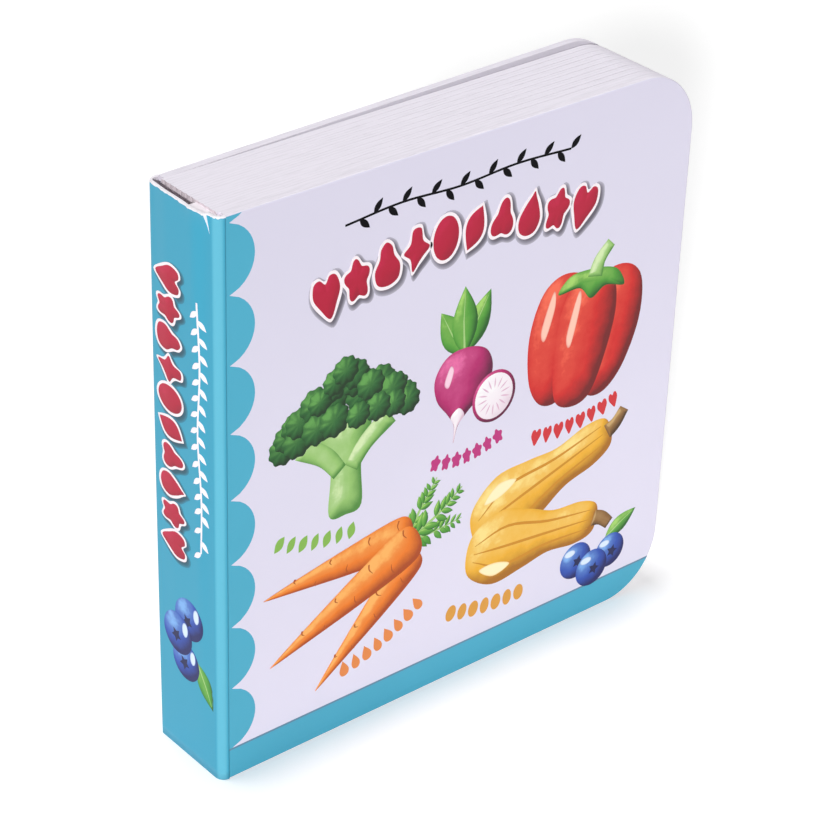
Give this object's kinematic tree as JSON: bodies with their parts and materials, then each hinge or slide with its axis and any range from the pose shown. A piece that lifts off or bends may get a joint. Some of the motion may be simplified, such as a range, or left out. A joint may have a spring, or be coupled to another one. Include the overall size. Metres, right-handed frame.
{
  "type": "board book",
  "caption": "Small thick board book standing on its tail, with rounded fore corners, card leaves fanned from the spine and two hinged covers.",
  "frame": {"origin": "under the middle of the book's bounding box, on the surface it stands on", "axes": "+Z from tail to head, +X from the spine to the fore edge, -Y out of the front cover"},
  "size_m": [0.1006, 0.0212, 0.106],
  "materials": {
    "cover_card": "satin",
    "spine_card": "satin",
    "leaf_card": "satin",
    "glue": "matte"
  },
  "bodies": {
    "block": {"page_block": "leaf_card", "spine_panel": "spine_card", "spine_glue": "glue"},
    "front_cover": {"front_cover": "cover_card"},
    "back_cover": {"back_cover": "cover_card"}
  },
  "joints": [
    {"name": "front_cover_crease", "type": "hinge", "parent": "block", "child": "front_cover", "pos_m": [-0.0486, -0.0106, 0.053], "axis": [0, 0, -1], "range_deg": [0, 178]},
    {"name": "back_cover_crease", "type": "hinge", "parent": "block", "child": "back_cover", "pos_m": [-0.0486, 0.00722, 0.053], "axis": [0, 0, 1], "range_deg": [-1, 176]}
  ]
}
